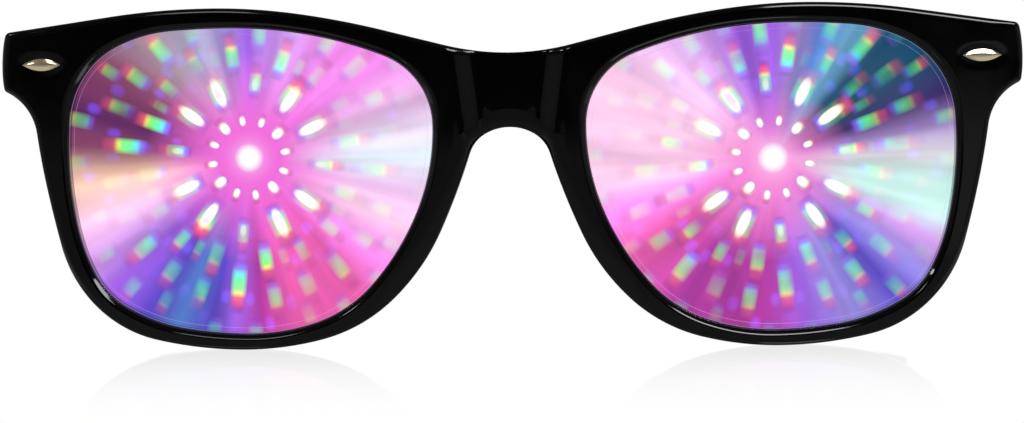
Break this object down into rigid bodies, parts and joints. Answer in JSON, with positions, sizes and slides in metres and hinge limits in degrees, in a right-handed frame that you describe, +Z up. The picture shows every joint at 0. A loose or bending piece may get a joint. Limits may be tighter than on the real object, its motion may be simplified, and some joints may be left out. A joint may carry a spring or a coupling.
{
  "type": "diffraction glasses",
  "caption": "Folding glasses with a thick black moulded front, two diffraction lenses, metal rivets on the end pieces and temples on three-knuckle hinges.",
  "frame": {"origin": "middle of the object's box from above, at the level of the table it stands on with open temples", "axes": "+X to the wearer's left, +Y back along the temples, +Z up; the face of the glasses looks along -Y"},
  "size_m": [0.145, 0.15, 0.048],
  "materials": {
    "frame_plastic": "polished black injection-moulded plastic",
    "temple_plastic": "polished black injection-moulded plastic",
    "lens_clear": "clear moulded plastic lens",
    "diffraction_film": "embossed diffraction film with rainbow dashes in rings round its middle",
    "rivet_metal": "polished pale nickel",
    "hinge_steel": "plated steel",
    "screw_steel": "turned steel"
  },
  "bodies": {
    "front": {"front_frame": "frame_plastic", "left_lens": "lens_clear", "left_diffraction_film": "diffraction_film", "left_rivet": "rivet_metal", "left_front_hinge": "hinge_steel", "left_hinge_screw": "screw_steel", "right_lens": "lens_clear", "right_diffraction_film": "diffraction_film", "right_rivet": "rivet_metal", "right_front_hinge": "hinge_steel", "right_hinge_screw": "screw_steel"},
    "left_arm": {"left_temple": "temple_plastic", "left_temple_hinge": "hinge_steel", "left_temple_fixings": "screw_steel"},
    "right_arm": {"right_temple": "temple_plastic", "right_temple_hinge": "hinge_steel", "right_temple_fixings": "screw_steel"}
  },
  "joints": [
    {"name": "left_fold", "type": "hinge", "parent": "front", "child": "left_arm", "pos_m": [0.06535, -0.05739, 0.0403], "axis": [0, 0, 1], "range_deg": [0, 88]},
    {"name": "right_fold", "type": "hinge", "parent": "front", "child": "right_arm", "pos_m": [-0.06535, -0.05739, 0.0403], "axis": [0, 0, -1], "range_deg": [0, 80]}
  ]
}
